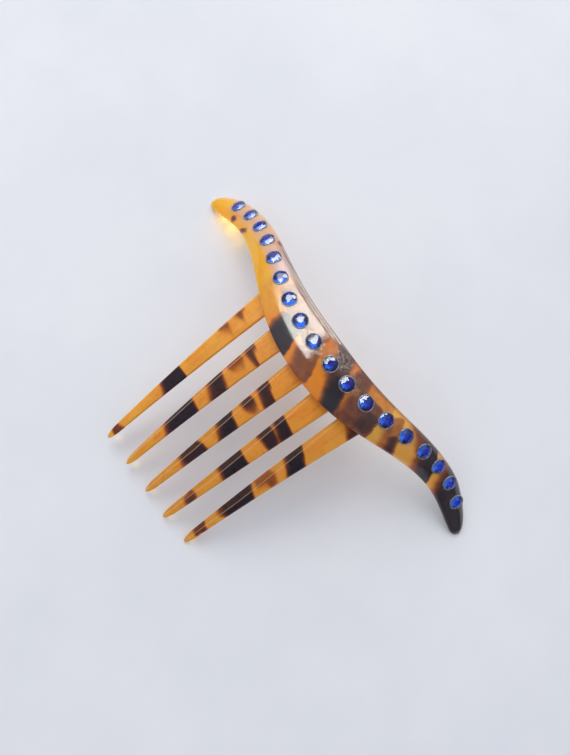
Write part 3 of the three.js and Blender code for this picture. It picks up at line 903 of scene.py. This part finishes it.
def left_wing_reflection_and_glow(n, x_place, colour):
    """The left wing's painted light: a pale lilac-beige band of painted reflection along its back, and a
    bright yellow painted glow, of light through its clearer celluloid, along its front and at its end.
    """
    gap = n.attribute("edge_gap")
    left_wing = n.spread(x_place, -20.0, -34.0)
    # painted reflection: a pale lilac-beige band along the wing's back
    reflection_band = n.times(n.spread(x_place, -15.0, -25.0), n.spread(gap, 7.4, 4.6, 0.0, 0.85))
    reflection_tone = n.mix(n.spread(x_place, -36.0, -26.0), rgb(228, 184, 148), rgb(206, 170, 174))
    colour = n.mix(reflection_band, colour, reflection_tone)
    # painted glow: bright yellow where light shines through the clear front and end
    front_glow = n.times(left_wing, n.spread(gap, 5.6, 8.2, 0.0, 0.8))
    end_glow = n.times(n.spread(x_place, -53.0, -58.0), n.spread(gap, 0.5, 2.2))
    return n.mix(n.math("MAXIMUM", front_glow, end_glow), colour, rgb(255, 186, 22))


def glue_residue(n):
    """Old glue and grime: small squiggles gathered round the glue spots."""
    gather = 0.0
    for x, y, radius in GLUE_SPOTS:
        centre = tuple(Vector((x, y, 0.0)) + ORIGIN)
        flat = n.scaled(n.vector("SUBTRACT", n.place, centre).outputs[0], (1 / radius, 1 / radius, 0.0))
        reach = n.vector("LENGTH", flat).outputs["Value"]
        gather = n.math("MAXIMUM", gather, n.spread(reach, 1.0, 0.4))
    squiggles = n.noise(n.place, 3.4, 1.0, 0.5, 1.4)
    ridge = n.math("ABSOLUTE", n.math("SUBTRACT", squiggles, 0.5))
    breaks = n.spread(n.noise(n.place, 1.6, 2.0), 0.46, 0.54)
    return n.times(n.times(gather, breaks), n.spread(ridge, 0.05, 0.02))


def sapphire_glass():
    """Blue glass with a slightly uneven tint and rubbed facets."""
    n = Surface("blue_glass")
    tint = n.noise(n.place, 0.25, 2.0)
    colour = n.mix(n.spread(tint, 0.3, 0.7), rgb(40, 104, 242), rgb(62, 130, 255))
    rub = scratches(n, n.place, (0.6, 2.6, 1.0), 4.0, 0.3)
    roughness = n.math("ADD", 0.015, n.times(rub, 0.08))
    return n.finish(
        Base_Color=colour, Roughness=roughness, IOR=1.56, Transmission_Weight=1.0,
        Normal=n.bump(rub, 0.08, 0.00003),
    )


def mirror_foil():
    """Silvered foil: uneven flakes, some tarnish and a fine crinkle."""
    n = Surface("foil")
    tarnish = n.noise(n.place, 1.4, 4.0, 0.6)
    cells = n.node("ShaderNodeTexVoronoi", {"Vector": n.place, "Scale": 1.7}).outputs["Color"]
    flakes = n.mix(n.spread(cells, 0.3, 0.7), rgb(140, 156, 196), rgb(255, 255, 255))
    colour = n.mix(n.spread(tarnish, 0.5, 0.8, 0.0, 0.6), flakes, rgb(96, 108, 140))
    roughness = n.spread(tarnish, 0.3, 0.8, 0.1, 0.35)
    crinkle = n.noise(n.place, 3.0, 3.0)
    return n.finish(
        Base_Color=colour, Metallic=1.0, Roughness=roughness, Normal=n.bump(crinkle, 0.2, 0.00005),
    )


def old_cement():
    """Aged cement, grey to lilac, with small bubbles."""
    n = Surface("cement")
    mottled = n.noise(n.place, 1.2, 4.0, 0.6)
    colour = n.ramp(mottled, [
        (0.3, rgb(96, 86, 92)),
        (0.5, rgb(148, 142, 156)),
        (0.75, rgb(190, 186, 200)),
    ])
    bubbles = n.node("ShaderNodeTexVoronoi", {"Vector": n.place, "Scale": 2.8}).outputs[0]
    height = n.math("ADD", mottled, n.spread(bubbles, 0.0, 0.25, -0.5, 0.0))
    return n.finish(
        Base_Color=colour,
        Roughness=n.spread(mottled, 0.3, 0.8, 0.22, 0.5),
        IOR=1.48,
        Transmission_Weight=0.25,
        Normal=n.bump(height, 0.5, 0.00008),
    )


def paper():
    """The white paper under the comb, with a faint grain."""
    n = Surface("paper")
    tone = n.noise(n.place, 0.012, 4.0, 0.6)
    colour = n.mix(n.spread(tone, 0.3, 0.7), rgb(244, 245, 247), rgb(236, 238, 242))
    tooth = n.noise(n.place, 1.2, 5.0, 0.65)
    return n.finish(
        Base_Color=colour, Roughness=0.85, Specular_IOR_Level=0.05, Normal=n.bump(tooth, 0.12, 0.0001),
    )


# ---- putting the comb together
def install(piece, material, slot, *nodes):
    """Gives a piece its material and makes it stand for its CAD nodes."""
    piece.data.materials.clear()
    piece.data.materials.append(material)
    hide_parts(*nodes)
    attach(piece, "root")


crest_material = celluloid(
    "crest_celluloid", rgb(252, 184, 56), rgb(248, 166, 48), rgb(255, 146, 32), rgb(255, 190, 88),
    streak_stretch=(0.05, 0.5, 0.3), shine=0.5, rough=0.07, on_crest=True,
)
tooth_material = celluloid(
    "tooth_celluloid", rgb(246, 180, 76), rgb(234, 158, 66), rgb(238, 164, 68), rgb(242, 176, 80),
    streak_stretch=(0.7, 0.035, 0.5), shine=0.04, rough=0.26, on_crest=False,
)
glass, foil_metal, cement_material = sapphire_glass(), mirror_foil(), old_cement()

install(make_crest(), crest_material, "crest_celluloid", "crest_band")
install(make_tooth_plate(), tooth_material, "tooth_celluloid", "tooth_comb")
install(make_seam(), cement_material, "cement", "cement_seam")
for number in STONE_PLACES:
    stone, foil, cement = make_setting(number)
    install(stone, glass, "blue_glass", f"rhinestone_{number:02d}")
    install(foil, foil_metal, "foil", f"foil_backing_{number:02d}")
    install(cement, cement_material, "cement", f"stone_cement_{number:02d}")


# ---- floor, light and camera
FLOOR_HALF, FLOOR_Z = 2.0, -0.00003        # in metres; a hair below the comb's lowest points
# The frame's directions below point away from the comb.
WINDOW_DIRECTION = (-0.62, 0.3, 0.72)
WINDOW_CORNERS = [(-0.15, -0.27, 0.96), (-0.98, -0.06, 0.0), (-0.66, 0.7, 0.2), (-0.18, 0.86, 0.47)]
WINDOW_DISTANCE = 0.9                      # in metres
WINDOW_BRIGHT_END = (0.8, 0.1, 0.6)        # the window's shine grows stronger in this direction,
WINDOW_STRENGTH = (-0.55, 0.2, 1.2, 18.0)  # where along it that starts and ends, and the strengths there
WINDOW_SILL_NORMAL = (-0.384, -0.624, 1.0)
WINDOW_SLITS = [(0.09, 0.15), (0.24, 0.4)]
LIGHT_SIZE, LIGHT_DISTANCE, LIGHT_POWER = 0.45, 0.7, 1.42
LIGHT_TARGET = (0.0, -15.0, -20.0)         # in the comb's millimetres
# Each glow's x and y, its height over the floor (mm) and its power (W).
AMBER_GLOWS = [(-56.5, 7.0, 1.6, 0.00011), (-52.5, 7.4, 2.4, 0.00023), (-48.0, 6.6, 3.4, 0.00018)]
TIP_GLOW_BESIDE, TIP_GLOW_INWARD, TIP_GLOW_HEIGHT, TIP_GLOW_POWER = 1.4, 1.8, 1.0, 0.000012
GLOW_SIZE_SHARE = 0.4                      # a glow's radius, as a share of its height
CAMERA_TARGET = (-1.36, -9.79, -9.88)      # in the comb's millimetres
CAMERA_DISTANCE = 145.0
CAMERA_BACK = (0.1124, -0.1369, 0.9842)
CAMERA_RIGHT = (0.581, 0.8127, 0.0467)
FOCAL_SHARE = 0.722                        # focal length over the frame's long side


def make_floor():
    """A sheet of paper, far wider than the photo shows."""
    corners = [(x * FLOOR_HALF, y * FLOOR_HALF, FLOOR_Z) for x, y in ((-1, -1), (1, -1), (1, 1), (-1, 1))]
    floor = new_object("floor", corners, [(0, 1, 2, 3)])
    floor.data.materials.append(paper())


def make_window_shine():
    """The window as glossy surfaces mirror it: one bright panel and two slits, dimmer towards one end."""
    material = bpy.data.materials.new("window_shine")
    material.use_nodes = True
    n = Nodes(material.node_tree)
    n.tree.nodes.clear()
    position = n.node("ShaderNodeNewGeometry").outputs["Position"]
    heading = n.vector("NORMALIZE", position).outputs["Vector"]
    towards_bright = n.vector("DOT_PRODUCT", heading, Vector(WINDOW_BRIGHT_END)).outputs["Value"]
    strength = n.spread(towards_bright, *WINDOW_STRENGTH)
    emission = n.node("ShaderNodeEmission", {"Color": rgb(240, 243, 236), "Strength": strength})
    n.node("ShaderNodeOutputMaterial", {0: emission.outputs[0]})
    target = Vector(place([0.0, 0.0, 0.0]))
    for number, directions in enumerate([WINDOW_CORNERS, *window_slits()]):
        corners = [target + Vector(d).normalized() * WINDOW_DISTANCE for d in directions]
        card = new_object(f"window_shine_{number}", corners, [tuple(range(len(corners)))])
        card.data.materials.append(material)
        card.visible_camera = False
        card.visible_diffuse = False
        card.visible_shadow = False
        card.visible_transmission = False


def window_slits():
    """Two narrow bright gaps below the window, along its lower right side."""
    near, far = (Vector(corner).normalized() for corner in WINDOW_CORNERS[2:])
    down = -Vector(WINDOW_SILL_NORMAL).normalized()
    for start, end in WINDOW_SLITS:
        yield [near + down * start, near + down * end, far + down * end, far + down * start]


def add_light(name, kind, power, colour, location):
    """A lamp that lights the comb but is seen neither by the camera nor in a reflection."""
    light = bpy.data.lights.new(name, kind)
    light.energy = power
    light.color = colour
    holder = bpy.data.objects.new(name, light)
    bpy.context.scene.collection.objects.link(holder)
    holder.location = location
    holder.visible_camera = False
    holder.visible_glossy = False
    return holder


def make_window_light():
    """The light that the window throws; what mirrors the window sees make_window_shine's cards instead."""
    towards = Vector(WINDOW_DIRECTION).normalized()
    location = Vector(place(LIGHT_TARGET)) + towards * LIGHT_DISTANCE
    holder = add_light("window", "AREA", LIGHT_POWER, (1.0, 0.98, 0.95), location)
    holder.data.shape = "DISK"
    holder.data.size = LIGHT_SIZE
    holder.rotation_mode = "QUATERNION"
    holder.rotation_quaternion = (-towards).to_track_quat("-Z", "Y")
    holder.visible_transmission = False


def tip_glows():
    """One faint glow beside each tooth tip, on the side away from the window."""
    return [
        (tip_x + TIP_GLOW_BESIDE, TOOTH_END_Y + wear + TIP_GLOW_INWARD, TIP_GLOW_HEIGHT, TIP_GLOW_POWER)
        for tip_x, wear in zip(TOOTH_TIPS, TIP_WEAR)
    ]


def make_amber_glow():
    """The warm light that the clear left end and the tooth tips let through onto the floor beside them."""
    for x, y, height, power in AMBER_GLOWS + tip_glows():
        location = Vector((x, y + ORIGIN.y, height)) * MM
        holder = add_light("amber_glow", "POINT", power, (1.0, 0.7, 0.08), location)
        holder.data.shadow_soft_size = GLOW_SIZE_SHARE * height * MM


def make_room():
    """Pale walls all round, brighter towards the window, dim low down and straight overhead."""
    world = bpy.data.worlds.new("room")
    world.use_nodes = True
    n = Nodes(world.node_tree)
    direction = n.node("ShaderNodeTexCoord").outputs["Generated"]

    def fade(along, low, high, dim, bright):
        """From dim to bright, for directions that point less or more along the given one."""
        dot = n.vector("DOT_PRODUCT", direction, Vector(along).normalized()).outputs["Value"]
        return n.spread(dot, low, high, dim, bright)

    to_window = fade(WINDOW_DIRECTION, -0.2, 0.9, 0.46, 1.16)
    low_down = fade((0.0, 0.0, 1.0), 0.0, 0.3, 0.35, 1.0)
    overhead = fade(CAMERA_BACK, 0.86, 0.97, 1.0, 0.4)
    strength = n.times(n.times(to_window, low_down), overhead)
    background = n.tree.nodes["Background"]
    n.feed(background.inputs["Color"], rgb(231, 234, 243))
    n.feed(background.inputs["Strength"], strength)
    bpy.context.scene.world = world


def make_camera():
    """The photo's camera: nearly overhead, turned so that the crest runs slantwise down the picture."""
    data = bpy.data.cameras.new("camera")
    data.lens = data.sensor_width * FOCAL_SHARE
    data.clip_start = 0.01
    camera = bpy.data.objects.new("camera", data)
    bpy.context.scene.collection.objects.link(camera)
    back = Vector(CAMERA_BACK).normalized()
    right = (Vector(CAMERA_RIGHT) - back * Vector(CAMERA_RIGHT).dot(back)).normalized()
    up = back.cross(right)
    rotation = Matrix((right, up, back)).transposed()
    target = Vector(place(CAMERA_TARGET))
    camera.matrix_world = Matrix.Translation(target + back * CAMERA_DISTANCE * MM) @ rotation.to_4x4()
    bpy.context.scene.camera = camera


make_floor()
make_room()
make_window_light()
make_amber_glow()
make_window_shine()
make_camera()
bpy.context.scene.view_settings.view_transform = "Standard"
